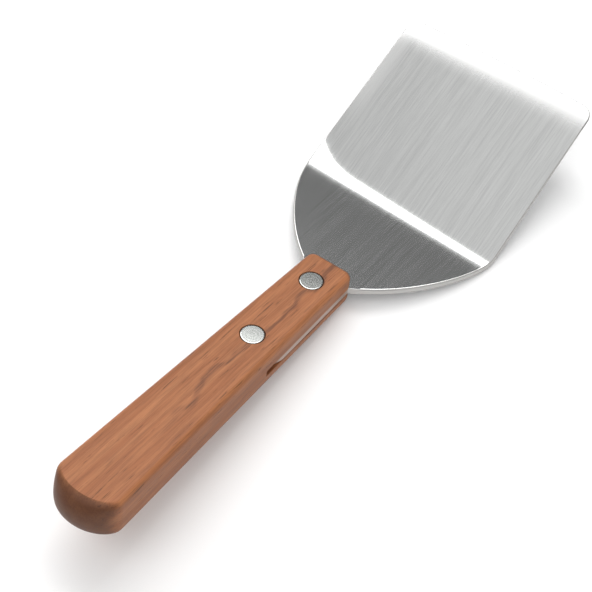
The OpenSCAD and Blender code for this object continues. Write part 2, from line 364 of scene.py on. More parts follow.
class BentSheet:
    """The sheet seen from the side: its bend grows from the shoulder and lets go at the leaf."""

    SAMPLES = 800
    LET_GO = 0.12  # share of the bend's length in which it lets go
    FLAT_BEHIND = 1.0  # metres of flat sheet behind the bend, more than any tang needs
    FRONT_ROLL_POWER, SIDE_ROLL_POWER = 2.4, 2
    SIDE_ROLL_RISE = 4  # the side roll is whole at a quarter of the leaf's length
    # The polish turns up slowly before the shine, fast through it and slowly past it
    LEAD, LEAD_KNEE, TAIL_KNEE, TAIL = 0.0055, 0.0022, 0.0017, 0.0040
    KNEE_TURN, START_TURN, END_TURN = (math.radians(turn) for turn in (1.2, 4.6, 17.2))
    TAIL_TURN = 0.04  # what is left of the bend's angle at the tail's knee
    FLARE_POWER = 2.6
    FRONT_SHINE_SLANT, FRONT_SHINE_POWER = 0.06, 1.6
    NUDGE = 1e-5  # distance between neighbouring points for a direction

    def __init__(self, blade):
        self.blade = blade
        a = blade.bend_angle
        first, last = -blade.bend_lead, blade.bend_radius * a + blade.bend_tail
        u = np.linspace(first, last, self.SAMPLES)
        fade = self.LET_GO * (last - first)
        curve = np.clip(np.minimum((u - first) / (last - first - fade), (last - u) / fade), 0, 1)
        step = u[1] - u[0]
        turn = np.concatenate([[0], np.cumsum((curve[1:] + curve[:-1]) / 2 * step)])
        turn *= a / turn[-1]
        middle = (turn[1:] + turn[:-1]) / 2
        x = np.concatenate([[0], np.cumsum(np.cos(middle) * step)]) + first
        z = np.concatenate([[0], np.cumsum(np.sin(middle) * step)]) + blade.thickness / 2
        # The bend slides along the shoulder until its end lies on the leaf
        end = bend_end(blade)
        slip = ((x[-1] - end[0]) * -math.sin(a) + (z[-1] - end[1]) * math.cos(a)) / math.sin(a)
        u, x = u + slip, x + slip
        tip = leaf_tips(blade)[0]
        self.front = u[-1] + math.hypot(tip[0] - x[-1], tip[1] - z[-1])
        self.u = np.concatenate([[u[0] - self.FLAT_BEHIND], u, [self.front]])
        self.x = np.concatenate([[x[0] - self.FLAT_BEHIND], x, [tip[0]]])
        self.z = np.concatenate([[z[0]], z, [tip[1]]])
        self.turn = np.concatenate([[0], turn, [a]])

    def along(self, x):
        """How far along the sheet the upper face reaches x."""
        return np.interp(x, self.x, self.u)

    def ground(self, u):
        """Share of the grinding at a place: 0 at the bend and 1 at the front edge."""
        return np.clip(1 - (self.front - u) / self.blade.leaf_length, 0, 1)

    def depth(self, u):
        """Thickness of the sheet at a place."""
        blade = self.blade
        return blade.thickness + (blade.front_thickness - blade.thickness) * self.ground(u)

    def place(self, u, y, share):
        """A point of the sheet: share is 0 on the upper face and 1 on the underside."""
        blade = self.blade
        tilt = np.interp(u, self.u, self.turn)
        x, z = np.interp(u, self.u, self.x), np.interp(u, self.u, self.z)
        from_front = self.front - blade.front_bow * (2 * y / blade.leaf_width) ** 2 - u
        near_front = np.clip(1 - from_front / blade.front_roll_run, 0, 1)
        from_side = blade.leaf_width / 2 - np.abs(y)
        near_side = np.clip(1 - from_side / blade.side_roll_run, 0, 1)
        near_side = near_side * np.clip(self.ground(u) * self.SIDE_ROLL_RISE, 0, 1)
        rolled = blade.front_roll * near_front**self.FRONT_ROLL_POWER
        rolled = rolled + blade.side_roll * near_side**self.SIDE_ROLL_POWER
        down = rolled + (self.depth(u) - rolled) * share
        return np.stack([x + down * np.sin(tilt), y, z - down * np.cos(tilt)], axis=-1)

    def polished_turn(self, u, y):
        """How far the polished face turns up: pressing leaves the bend a little askew."""
        blade, whole = self.blade, self.blade.bend_angle
        first = blade.start_slant * y - blade.shine_start
        near_left = np.clip(1 - (blade.leaf_width / 2 - y) / blade.flare_run, 0, 1)
        last = self.front - blade.leaf_length + blade.shine_end + blade.end_slant * y
        last = last + near_left**self.FLARE_POWER * blade.flare
        knots = (
            (first - self.LEAD, 0),
            (first - self.LEAD_KNEE, self.KNEE_TURN),
            (first, self.START_TURN),
            (last, self.END_TURN),
            (last + self.TAIL_KNEE, whole - self.TAIL_TURN),
            (last + self.TAIL, whole),
        )
        turned = np.zeros_like(u)
        for (a, low), (b, high) in zip(knots, knots[1:]):
            turned += np.clip((u - a) / (b - a), 0, 1) * (high - low)
        return turned

    def normal(self, u, y, share):
        """The direction that the polished upper face shows at a point."""
        d = self.NUDGE
        along = self.place(u + d, y, share) - self.place(u - d, y, share)
        across = self.place(u, y + d, share) - self.place(u, y - d, share)
        up = np.cross(along, across)
        up /= np.linalg.norm(up, axis=-1, keepdims=True)
        from_front = self.front - u - self.FRONT_SHINE_SLANT * y
        near_front = np.clip(1 - from_front / self.blade.shine_run, 0, 1)
        more = self.polished_turn(u, y) - np.interp(u, self.u, self.turn)
        more = more - self.blade.front_shine * near_front**self.FRONT_SHINE_POWER
        c, s = np.cos(more), np.sin(more)
        x, z = up[:, 0] * c - up[:, 2] * s, up[:, 0] * s + up[:, 2] * c
        return np.stack([x, up[:, 1], z], axis=-1)


def tang_half_width(handle, s):
    """Half the tang's width at s behind the handle's front end."""
    run = handle.length - handle.butt_length
    wood = handle.neck_width + (handle.butt_width - handle.neck_width) * s / run
    return wood / 2 - handle.tang_in


def rivet_places(rivets):
    """How far the middles of the two rivets lie behind the handle's front end."""
    return rivets.front, rivets.front + rivets.pitch


def side_draw(blade):
    """Where the blade is full width, seen from above, and how fast its sides draw in."""
    full = bend_end(blade)[0] - blade.side_run
    return full, blade.leaf_draw / 2 / (leaf_tips(blade)[0][0] - full)


def shoulder_curve(blade, handle):
    """One side of the shoulder seen from above, from the tang to its full width."""
    full, p = side_draw(blade)[0], blade.shoulder_power
    start = math.asin((2 * tang_half_width(handle, 0) / blade.leaf_width) ** (p / 2))
    almost_side = math.pi / 2 - 1e-6
    return [
        (
            full - (blade.shoulder_length + full) * math.cos(a) ** (2 / p),
            blade.leaf_width / 2 * math.sin(a) ** (2 / p),
        )
        for a in np.linspace(start, almost_side, SHOULDER_POINTS)
    ]


def front_edge(sheet):
    """One round corner and half of the bowed front edge, from the leaf's side to its middle."""
    blade = sheet.blade
    r, half = blade.corner_radius, (blade.leaf_width - blade.leaf_draw) / 2
    slope = side_draw(blade)[1] * math.cos(blade.bend_angle)
    draw = math.atan(slope)
    bow_r = (half**2 + blade.front_bow**2) / (2 * blade.front_bow)
    bow_u = sheet.front - bow_r
    # The corner's centre is where a line beside the leaf's side meets a circle inside the bow
    side_y = half + sheet.front * slope - r / math.cos(draw)
    lean = 1 + slope**2
    middle = (bow_u + slope * side_y) / lean
    u = middle + math.sqrt(middle**2 - (bow_u**2 + side_y**2 - (bow_r - r) ** 2) / lean)
    centre = (u, side_y - slope * u)
    meet = math.atan2(centre[1], u - bow_u)
    corner = arc(centre, r, math.pi / 2 - draw, meet, CORNER_STEPS)
    return corner + arc((bow_u, 0), bow_r, meet, 0, FRONT_STEPS)[1:]


def blade_side(sheet, handle, rivets):
    """One side of the flat blank, from the tip of the tang to the middle of the front edge."""
    blade = sheet.blade
    tang = rivet_places(rivets)[1] + handle.tang_past_rivet
    slope = (handle.butt_width - handle.neck_width) / 2 / (handle.length - handle.butt_length)
    round_end = tang_half_width(handle, tang) / (1 + slope)
    middle = (round_end - handle.front - tang, 0)
    tip = arc(middle, round_end, math.pi, math.pi / 2, TIP_STEPS)
    shoulder = shoulder_curve(blade, handle)
    neck = (min(-handle.front, shoulder[0][0]), tang_half_width(handle, 0))
    edge = [tuple(p) for p in np.linspace(tip[-1], neck, TANG_POINTS)[1:-1]]
    full, draw = side_draw(blade)
    front = leaf_tips(blade)[0][0]
    sides = [
        (x, blade.leaf_width / 2 - (x - full) * draw)
        for x in np.linspace(shoulder[-1][0], front, SIDE_POINTS)[1:]
    ]
    plan = [(sheet.along(x), y) for x, y in tip + edge + shoulder + sides]
    end = front_edge(sheet)
    return [p for p in plan if p[0] < end[0][0] - CLEAR_CORNER] + end


def inward(loop):
    """How the points of a closed flat loop move for each metre inwards, and their outward ways."""
    before, after = loop - np.roll(loop, 1, axis=0), np.roll(loop, -1, axis=0) - loop
    before /= np.linalg.norm(before, axis=1)[:, None]
    after /= np.linalg.norm(after, axis=1)[:, None]
    along = before + after
    along /= np.linalg.norm(along, axis=1)[:, None]
    outward = np.stack([along[:, 1], -along[:, 0]], axis=1)
    half = np.clip((before * along).sum(axis=1), 0.5, 1)
    return -outward / half[:, None], outward


def edge_rings(sheet, handle, loop, radius):
    """The rounded skin along one edge, in rings from the upper face to the underside.

    It gives flat places, shares of the thickness, turns from straight up and outward directions.
    """
    blade, loop = sheet.blade, np.array(loop)
    far = loop[:, 0]
    deep = sheet.depth(far)
    radius = np.minimum(radius, deep * EDGE_SHARE)
    radius = np.where(far < -handle.front, np.minimum(radius, blade.tang_edge_radius), radius)
    shift, outward = inward(loop)
    quarter = np.linspace(0, math.pi / 2, EDGE_STEPS)
    rings = []
    for under, turns in ((False, quarter), (True, quarter[::-1])):
        for turn in turns:
            flat = loop + shift * (radius * (1 - math.sin(turn)))[:, None]
            down = radius * (1 - math.cos(turn)) / deep
            share, tilt = (1 - down, math.pi - turn) if under else (down, turn)
            rings.append((flat, share, np.full(len(loop), tilt), outward))
    return [np.concatenate(column) for column in zip(*rings)]


def blade_mesh(blade, handle, rivets):
    """The blade as one closed skin: points, directions, faces, flat places and rounding."""
    sheet = BentSheet(blade)
    half = blade_side(sheet, handle, rivets)
    outline = (half + [(u, -y) for u, y in half[-2:0:-1]])[::-1]
    hole = rivets.sleeve / 2 + rivets.shank_gap
    middles = [-handle.front - s for s in rivet_places(rivets)]
    edges = [(outline, blade.edge_radius)]
    edges += [(arc((u, 0), hole, 0, -2 * math.pi, HOLE_POINTS)[:-1], HOLE_EDGE) for u in middles]
    skins, faces, rims, closed, count = [], [], [], [], 0
    for loop, radius in edges:
        size, start = len(loop), len(rims)
        skins.append(edge_rings(sheet, handle, loop, radius))
        faces += bands(count, size, 2 * EDGE_STEPS)
        under = count + (2 * EDGE_STEPS - 1) * size
        rims += [(count + i, under + i) for i in range(size)]
        closed += [(start + i, start + (i + 1) % size) for i in range(size)]
        count += 2 * EDGE_STEPS * size
    flat, share, tilt, out = (np.concatenate(column) for column in zip(*skins))

    rim = flat[: len(outline)]
    tip = rim[:, 0].min()
    left = rim[rim[:, 1] > 0]
    left = left[np.argsort(left[:, 0])]

    def on_blade(u, y, from_side=0, from_tip=0, from_front=0, from_hole=0):
        """True for a place on the sheet and at least so far from its edges."""
        return (
            abs(y) < np.interp(u, left[:, 0], left[:, 1]) - from_side
            and tip + from_tip < u < sheet.front - from_front
            and all(math.hypot(u - middle, y) > hole + from_hole for middle in middles)
        )

    runs = (ALONG_TANG, ALONG_BEND, (LEAF_START, sheet.front, LEAF_STEP))
    us = np.concatenate([np.arange(*run) for run in runs])
    ys = np.concatenate([np.arange(*run) for run in (ACROSS_MIDDLE, ACROSS_SIDE)])
    ys = np.concatenate([-ys[:0:-1], ys])
    seeds = [Vector(flat[upper]) for upper, _ in rims]
    seeds += [Vector((u, y)) for u in us for y in ys if on_blade(u, y, *CLEAR)]
    spots, _, fills, origins, _, _ = delaunay_2d_cdt(seeds, closed, [], 0, 1e-9)
    spots = np.array([tuple(v) for v in spots])
    pairs, added = [], []
    for spot, came in zip(spots, origins):
        known = [c for c in came if c < len(rims)]
        if known:
            pairs.append(rims[known[0]])
        else:
            upper = count + 2 * len(added)
            pairs.append((upper, upper + 1))
            added.append(spot)
    for face in fills:
        if on_blade(*spots[list(face)].mean(axis=0)):
            faces.append(tuple(pairs[i][0] for i in face))
            faces.append(tuple(pairs[i][1] for i in reversed(face)))

    n = len(added)
    flat = np.concatenate([flat, np.repeat(added, 2, axis=0)])
    share = np.concatenate([share, np.tile([0, 1], n)])
    tilt = np.concatenate([tilt, np.tile([0, math.pi], n)])
    out = np.concatenate([out, np.zeros((2 * n, 2))])
    u, y = flat[:, 0], flat[:, 1]
    up = sheet.normal(u, y, np.where(tilt > math.pi / 2, 1.0, 0.0))
    lean = np.interp(u, sheet.u, sheet.turn)
    side = np.stack([out[:, 0] * np.cos(lean), out[:, 1], out[:, 0] * np.sin(lean)], axis=1)
    normals = up * np.cos(tilt)[:, None] + side * np.sin(tilt)[:, None]
    normals /= np.linalg.norm(normals, axis=1)[:, None]
    return sheet.place(u, y, share), normals, faces, flat, np.sin(tilt)


# ---- handle shape ----

LOW_ROUND_RINGS, SIDE_RINGS, TOP_ROUND_RINGS = 13, 9, 8
NECK_STEPS, SIDE_STEPS, BUTT_POINTS, CUT_STEPS = 8, 40, 57, 40
LEAST_CORNER = 0.0003  # the least radius of the corners at the front end
CUT_PAST = 0.002  # how far the saw cut runs out of the handle's front end
SEAT_PAST = 0.001  # how far the cutters of the seats stand out of the wood


def between(front, butt, handle, s):
    """A height at s behind the handle's front end, from its heights at the two ends."""
    return front + (butt - front) * s / handle.length


def butt_inset(handle, z):
    """How far the butt's end stands back at height z."""
    bulge = handle.butt_bulge
    r = ((handle.butt_rise - handle.butt_level) ** 2 + bulge**2) / (2 * bulge)
    r = max(r, handle.butt_drop + handle.butt_level)
    return r - math.sqrt(r * r - (z - handle.butt_level) ** 2)


def handle_ring(handle, z_front, z_butt, side_in, more_in):
    """One ring around the handle, set in from its sides and a little more at its butt."""
    butt_in = butt_inset(handle, z_butt) + more_in
    r = max(handle.neck_round - side_in, LEAST_CORNER)
    y = handle.neck_width / 2 - side_in
    neck = arc((side_in + r, y - r), r, math.pi, math.pi / 2, NECK_STEPS)
    start = handle.length - handle.butt_length
    across, deep = handle.butt_width / 2 - side_in, max(handle.butt_length - butt_in, 0)
    first = side_in + r
    sides = [
        (s, y + (across - y) * (s - first) / (start - first))
        for s in np.linspace(first, start, SIDE_STEPS)[1:-1]
    ]
    butt = [
        (start + deep * math.cos(a), across * math.sin(a))
        for a in np.linspace(math.pi / 2, -math.pi / 2, BUTT_POINTS)
    ]
    back = [(x, -w) for x, w in reversed(neck + sides)]
    return [
        (-handle.front - s, w, between(z_front, z_butt, handle, s))
        for s, w in neck + sides + butt + back
    ]


def handle_rings(handle):
    """The rings from the underside to the top."""
    low, top = handle.low_round, handle.top_round
    rings = []
    for a in np.linspace(math.pi / 2, 0, LOW_ROUND_RINGS):
        up, side_in = low * (1 - math.sin(a)), low * (1 - math.cos(a))
        rings.append((up - handle.neck_drop, up - handle.butt_drop, side_in, side_in))
    for f in np.linspace(0, 1, SIDE_RINGS)[1:-1]:
        z_front = (handle.neck_rise - top) * f + (low - handle.neck_drop) * (1 - f)
        z_butt = (handle.butt_rise - top) * f + (low - handle.butt_drop) * (1 - f)
        rings.append((z_front, z_butt, 0, 0))
    for a in np.linspace(0, math.pi / 2, TOP_ROUND_RINGS):
        down, side_in = top * (1 - math.sin(a)), top * (1 - math.cos(a))
        rings.append((handle.neck_rise - down, handle.butt_rise - down, side_in, 0))
    return [handle_ring(handle, *ring) for ring in rings]


def loft(rings):
    """Points and faces of a closed skin over rings with equal numbers of points."""
    n = len(rings[0])
    faces = bands(0, n, len(rings))
    faces += [tuple(range(n)), tuple((len(rings) - 1) * n + i for i in reversed(range(n)))]
    return [p for ring in rings for p in ring], faces


def prism(outline, low, high):
    """Points and faces of an upright prism over a flat outline."""
    n = len(outline)
    points = [(x, y, low) for x, y in outline] + [(x, y, high) for x, y in outline]
    faces = [tuple(reversed(range(n))), tuple(range(n, 2 * n))]
    faces += [(i, (i + 1) % n, n + (i + 1) % n, n + i) for i in range(n)]
    return points, faces


def saw_cut(blade, handle, rivets):
    """The slot for the tang, with the round end that a circular saw leaves."""
    end = rivet_places(rivets)[1] + handle.tang_past_rivet + handle.kerf_end_gap
    r = handle.saw_radius
    wide = handle.butt_width
    reach = math.asin(wide / r)
    middle = (-handle.front - end + r, 0)
    round_end = arc(middle, r, math.pi - reach, math.pi + reach, CUT_STEPS)
    ahead = -handle.front + CUT_PAST
    outline = round_end + [(ahead, -wide), (ahead, wide)]
    return prism(outline, -blade.thickness / 2 - handle.kerf_gap, blade.thickness / 2)


# ---- rivets and their seats ----

BROKEN_EDGE = 0.0001  # width of the bevels on the halves of a rivet
POST_TIP = 0.0002  # width of the bevel at the end of a post
HEAD_ROUND = 0.00018  # round on the rim of a head
CROWN_RINGS = (0, 0.2, 0.4, 0.6, 0.75, 0.87, 0.93)  # as shares of the head's radius
RIM_START, RIM_POINTS = 0.25, 5  # angle at which the rim's round starts, and its points
RIVET_STEPS, SEAT_STEPS = 64, 72


def spin(profile, steps):
    """Points and faces of a turned solid from its half section, axis first and axis last."""
    points, rows = [], []
    for r, z in profile:
        turns = 1 if r < 1e-9 else steps
        rows.append([len(points) + i for i in range(turns)])
        angles = [2 * math.pi * i / turns for i in range(turns)]
        points += [(r * math.cos(a), r * math.sin(a), z) for a in angles]
    faces = []
    for one, two in zip(rows, rows[1:]):
        for i in range(steps):
            j = (i + 1) % steps
            face = (one[i % len(one)], two[i % len(two)], two[j % len(two)], one[j % len(one)])
            faces.append(tuple(dict.fromkeys(face)))
    return points, faces


def head_heights(handle, s):
    """Lowest and highest point of a rivet at s behind the handle's front end."""
    low = -between(handle.neck_drop, handle.butt_drop, handle, s)
    return low, between(handle.neck_rise, handle.butt_rise, handle, s)


def rivet_hole(handle, rivets, s):
    """The hole for one rivet, with a seat for each head, as a turned cutter."""
    seat, hole = rivets.head / 2 + rivets.head_gap, rivets.sleeve / 2 + rivets.shank_gap
    low, high = head_heights(handle, s)
    deep, past = rivets.head_thickness, SEAT_PAST
    profile = [
        (0, high + past), (seat, high + past), (seat, high - deep), (hole, high - deep),
        (hole, low + deep), (seat, low + deep), (seat, low - past), (0, low - past),
    ]
    points, faces = spin(profile, SEAT_STEPS)
    return [(x - handle.front - s, y, z) for x, y, z in points], faces


def rivet_halves(rivets, low, high):
    """Half sections of the tubular half, with its head on top, and of the solid half below."""
    r, t, drop = rivets.head / 2, rivets.head_thickness, rivets.head_crown
    tube, bore = rivets.sleeve / 2, rivets.post / 2
    b, e = BROKEN_EDGE, HEAD_ROUND
    head = [(r * f, high - drop * f * f) for f in CROWN_RINGS]
    head += [
        (r - e + e * math.sin(a), high - drop - e + e * math.cos(a))
        for a in np.linspace(RIM_START, math.pi / 2, RIM_POINTS)
    ]
    seat, foot = high - t, low + t + rivets.sleeve_end_gap
    sleeve = head + [
        (r, seat + b), (r - b, seat), (tube, seat), (tube, foot + b),
        (tube - b, foot), (bore, foot), (bore, seat - b), (0, seat - b),
    ]
    seat, tip = low + t, high - t - rivets.post_end_gap
    post = [(x, low + high - z) for x, z in head]
    post += [
        (r, seat - b), (r - b, seat), (bore, seat),
        (bore, tip - POST_TIP), (bore - POST_TIP, tip), (0, tip),
    ]
    return sleeve, post


# ---- shader helpers ----


class Nodes:
    """Adds and links the nodes of one tree."""

    def __init__(self, tree):
        self.tree = tree
        self.column = 0

    def add(self, kind, inputs=(), **settings):
        """A new node with its settings and inputs."""
        node = self.tree.nodes.new(kind)
        node.location.x = self.column
        self.column += 180
        for name, value in settings.items():
            setattr(node, name, value)
        self.fill(node.inputs, inputs)
        return node

    def fill(self, sockets, values):
        """Links the outputs and sets the plain values that are named."""
        for name, value in dict(values).items():
            if isinstance(value, bpy.types.NodeSocket):
                self.tree.links.new(value, sockets[name])
            else:
                sockets[name].default_value = value

    def first(self, kind, inputs=(), **settings):
        """The first output of a new node."""
        return self.add(kind, inputs, **settings).outputs[0]

    def place(self, kind="Object"):
        """Where a point lies, or which way it faces."""
        return self.add("ShaderNodeTexCoord").outputs[kind]

    def axes(self, vector):
        """The three parts of a vector."""
        return self.add("ShaderNodeSeparateXYZ", {0: vector}).outputs

    def math(self, operation, *values):
        """One number from one, two or more, taken up in order."""
        total = values[0]
        for value in values[1:] or (0.0,):
            total = self.first("ShaderNodeMath", {0: total, 1: value}, operation=operation)
        return total

    def times(self, *values):
        """The product of all the values."""
        return self.math("MULTIPLY", *values)

    def compare(self, operation, vector, other):
        """One number from a vector and a fixed one: how far apart, or how alike, they are."""
        node = self.add("ShaderNodeVectorMath", {0: vector, 1: other}, operation=operation)
        return node.outputs["Value"]

    def mix(self, factor, a, b, blend="MIX"):
        """One colour turning into another."""
        inputs = {0: factor, 6: a, 7: b}
        return self.add("ShaderNodeMix", inputs, data_type="RGBA", blend_type=blend).outputs[2]

    def shade(self, base, tone):
        """A colour made paler or darker by a tone."""
        grey = self.first("ShaderNodeCombineColor", {0: tone, 1: tone, 2: tone})
        return self.mix(1.0, base, grey, "MULTIPLY")

    def range(self, value, low, high, to_low=0.0, to_high=1.0):
        """A smooth step from one level to another."""
        inputs = {"Value": value, "From Min": low, "From Max": high}
        inputs.update({"To Min": to_low, "To Max": to_high})
        return self.first("ShaderNodeMapRange", inputs, interpolation_type="SMOOTHSTEP")

    def strip(self, value, low, high, soft):
        """1 between two values and 0 outside them, with soft ends."""
        rise = self.range(value, low - soft, low + soft)
        return self.times(rise, self.range(value, high - soft, high + soft, 1.0, 0.0))

    def noise(self, vector, scale, detail=2.0, rough=0.5):
        """Soft random patches, from 0 to 1."""
        inputs = {"Vector": vector, "Scale": scale, "Detail": detail, "Roughness": rough}
        return self.first("ShaderNodeTexNoise", inputs)

    def bump(self, strength, distance, height):
        """A normal with small relief."""
        inputs = {"Strength": strength, "Distance": distance, "Height": height}
        return self.first("ShaderNodeBump", inputs)

    def streaks(self, vector, stretch, coarse, fine):
        """The lines and the bands of the group of drawn streaks."""
        node = self.add("ShaderNodeGroup", node_tree=streak_group())
        inputs = {"Vector": vector, "Stretch": stretch, "Coarse": coarse, "Fine": fine}
        self.fill(node.inputs, inputs)
        return node.outputs["Lines"], node.outputs["Bands"]


def new_material(name):
    """A material, its nodes, its Principled shader and the inputs of its output."""
    material = bpy.data.materials.new(name)
    material.use_nodes = True
    material.node_tree.nodes.clear()
    nodes = Nodes(material.node_tree)
    shader = nodes.add("ShaderNodeBsdfPrincipled")
    output = nodes.add("ShaderNodeOutputMaterial", {"Surface": shader.outputs[0]})
    return material, nodes, shader, output.inputs


def solid(rgb):
    """A colour with full alpha."""
    return (rgb[0], rgb[1], rgb[2], 1.0)


def streak_group():
    """Fine lines drawn out along one direction: brushing on metal, fibres in wood."""
    name = "Drawn streaks"
    if name in bpy.data.node_groups:
        return bpy.data.node_groups[name]
    tree = bpy.data.node_groups.new(name, "ShaderNodeTree")
    for label, kind, way in (
        ("Vector", "NodeSocketVector", "INPUT"),
        ("Stretch", "NodeSocketVector", "INPUT"),
        ("Coarse", "NodeSocketFloat", "INPUT"),
        ("Fine", "NodeSocketFloat", "INPUT"),
        ("Lines", "NodeSocketFloat", "OUTPUT"),
        ("Bands", "NodeSocketFloat", "OUTPUT"),
    ):
        tree.interface.new_socket(label, in_out=way, socket_type=kind)
    nodes = Nodes(tree)
    given = nodes.add("NodeGroupInput").outputs
    both = {0: given["Vector"], 1: given["Stretch"]}
    drawn = nodes.first("ShaderNodeVectorMath", both, operation="MULTIPLY")
    bands = nodes.noise(drawn, given["Coarse"], 3.0, 0.6)
    lines = nodes.noise(drawn, given["Fine"], 4.0, 0.7)
    nodes.add("NodeGroupOutput", {"Lines": lines, "Bands": bands})
    return tree


# ---- materials ----

# How many streaks to a metre along, across and through a piece
BRUSHING = (30, 1300, 30)
FIBRES = (20, 600, 600)
PORES = (110, 1900, 1900)


def brushed_steel(blade):
    """Stainless sheet brushed lengthwise, with painted sheen on its ground front and left side."""
    material, nodes, shader, _ = new_material("Brushed steel")
    place = nodes.place()
    lines, bands = nodes.streaks(place, BRUSHING, 1.0, 3.0)
    tone = nodes.math("ADD", nodes.times(lines, 0.6), nodes.times(bands, 0.4))
    base = nodes.shade(solid(blade.steel), nodes.range(tone, 0.3, 0.7, 0.87, 1.07))

    # Painted sheen makes the ground front strip and a strip along the leaf's left side paler
    far, aside, _ = nodes.axes(place)
    front, leaf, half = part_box("blade")[1].x, blade.leaf_length, blade.leaf_width / 2
    ground = nodes.range(far, front - blade.shine_run, front - 3 * MM)
    on_leaf = nodes.range(far, front - 0.8 * leaf, front - 0.4 * leaf)
    left_sheen_strip = nodes.range(aside, half - 7 * MM, half)
    # Where the painted sheen goes
    polished = nodes.math("MAXIMUM", ground, nodes.times(on_leaf, left_sheen_strip))
    base = nodes.mix(polished, base, solid(blade.painted_sheen_steel))

    # Tumbling greys the edges; tang edges browner in the wood; front edge has painted shade
    rounded = nodes.add("ShaderNodeAttribute", attribute_name="Rounded").outputs["Fac"]
    edge = nodes.range(rounded, 0.05, 0.6)
    base = nodes.mix(edge, base, solid(blade.edge_steel))
    wood_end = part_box("handle")[1].x
    in_wood = nodes.range(far, wood_end - 3 * MM, wood_end - 2 * MM, 1.0, 0.0)
    base = nodes.mix(nodes.times(edge, in_wood), base, solid(blade.tang_steel))
    # Painted shade on the thin front edge
    base = nodes.mix(nodes.times(ground, edge), base, solid(blade.front_edge_painted_shade))

    brushed = nodes.range(bands, 0.3, 0.7, 0.168, 0.184)
    dull = nodes.times(nodes.math("MAXIMUM", ground, edge), 0.15)
    tangent = {"direction_type": "UV_MAP", "uv_map": "Brushing"}
    nodes.fill(shader.inputs, {
        "Base Color": base,
        "Metallic": 1.0,
        "Roughness": nodes.math("ADD", brushed, dull),
        "Anisotropic": 0.6,
        "Tangent": nodes.first("ShaderNodeTangent", **tangent),
        "Normal": nodes.bump(0.06, 0.006 * MM, lines),
    })
    return material


def oiled_wood(handle, rest):
    """Open-pored reddish wood with straight grain along the handle and one dark streak."""
    material, nodes, shader, _ = new_material("Oiled wood")
    level = {"Vector": nodes.place(), "Rotation": (0, -rest.tilt, 0)}
    lined = nodes.first("ShaderNodeMapping", level)
    lines, bands = nodes.streaks(lined, FIBRES, 0.6, 4.0)
    grain = nodes.range(bands, 0.35, 0.68)
    base = nodes.mix(grain, solid(handle.wood_dark), solid(handle.wood))
    base = nodes.shade(base, nodes.range(lines, 0.35, 0.6, 0.78, 1.06))

    # The dark streak wanders a little to the right of the middle and is lost towards the butt
    far, aside, _ = nodes.axes(lined)
    drift = nodes.range(nodes.noise(lined, 60.0), 0.3, 0.7, -3.4 * MM, 0.0)
    beside = nodes.math("ABSOLUTE", nodes.math("SUBTRACT", aside, drift))
    wood_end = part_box("handle")[1].x
    streak = nodes.times(
        nodes.range(beside, 0.2 * MM, 1.3 * MM, 1.0, 0.0),
        nodes.range(far, wood_end - 85 * MM, wood_end - 55 * MM),
        nodes.range(lines, 0.4, 0.65, 0.9, 0.4),
    )
    base = nodes.mix(streak, base, solid(handle.heart_streak))

    # The open pores, and darker wood where fibres end: part real end grain, part painted shade
    _, flecks = nodes.streaks(lined, PORES, 1.0, 1.3)
    pores = nodes.range(flecks, 0.61, 0.70)
    base = nodes.mix(nodes.times(pores, 0.65), base, solid(handle.pores))
    grain_way = (math.cos(rest.tilt), 0, -math.sin(rest.tilt))
    facing = nodes.compare("DOT_PRODUCT", nodes.place("Normal"), grain_way)
    cut_across_and_shaded = nodes.range(nodes.math("ABSOLUTE", facing), 0.12, 0.75)
    # Painted shade: the butt end, facing away from the light, is darkened more than end grain
    # alone
    base = nodes.mix(nodes.times(cut_across_and_shaded, 0.75), base, solid(handle.end_grain_and_shade))

    height = nodes.math("SUBTRACT", nodes.times(lines, 0.3), pores)
    nodes.fill(shader.inputs, {
        "Base Color": base,
        "Roughness": nodes.range(lines, 0.3, 0.7, 0.42, 0.52),
        "Specular IOR Level": 0.3,
        "Normal": nodes.bump(0.35, 0.08 * MM, height),
    })
    return material


def turned_metal(rivets, name, centre, roughness):
    """Aluminium with the fine rings that turning leaves on a head."""
    material, nodes, shader, _ = new_material(name)
    place = nodes.place()
    away = nodes.compare("DISTANCE", place, centre)
    rings = nodes.math("SINE", nodes.times(away, 2 * math.pi / rivets.ring))
    wobble = nodes.noise(place, 900.0, 3.0)
    tone = nodes.math("ADD", nodes.times(rings, 0.25), wobble)
    spread = 0.003
    nodes.fill(shader.inputs, {
        "Base Color": nodes.shade(solid(rivets.metal), nodes.range(tone, 0.2, 0.9, 0.95, 1.02)),
        "Metallic": 1.0,
        "Roughness": nodes.range(wobble, 0.3, 0.7, roughness - spread, roughness + spread),
        "Normal": nodes.bump(0.2, 0.004 * MM, rings),
    })
    return material


# ---- studio ----


def white_paper(stage):
    """Pale paper that shows as white and keeps the shadow."""
    material, nodes, shader, output = new_material("White paper")
    paths = nodes.add("ShaderNodeLightPath").outputs
    seen = [paths[f"Is {kind} Ray"] for kind in ("Camera", "Glossy", "Transmission")]
    seen = nodes.math("MAXIMUM", *seen)
    white, grey = solid(stage.paper), solid([stage.paper_bounce] * 3)
    nodes.fill(shader.inputs, {
        "Base Color": nodes.mix(seen, grey, white),
        "Roughness": 0.9,
        "Specular IOR Level": 0.0,
    })
    glow = nodes.first("ShaderNodeEmission", {"Color": white, "Strength": 1.0})
    layers = {0: nodes.times(seen, stage.paper_share), 1: shader.outputs[0], 2: glow}
    nodes.fill(output, {"Surface": nodes.first("ShaderNodeMixShader", layers)})
    return material


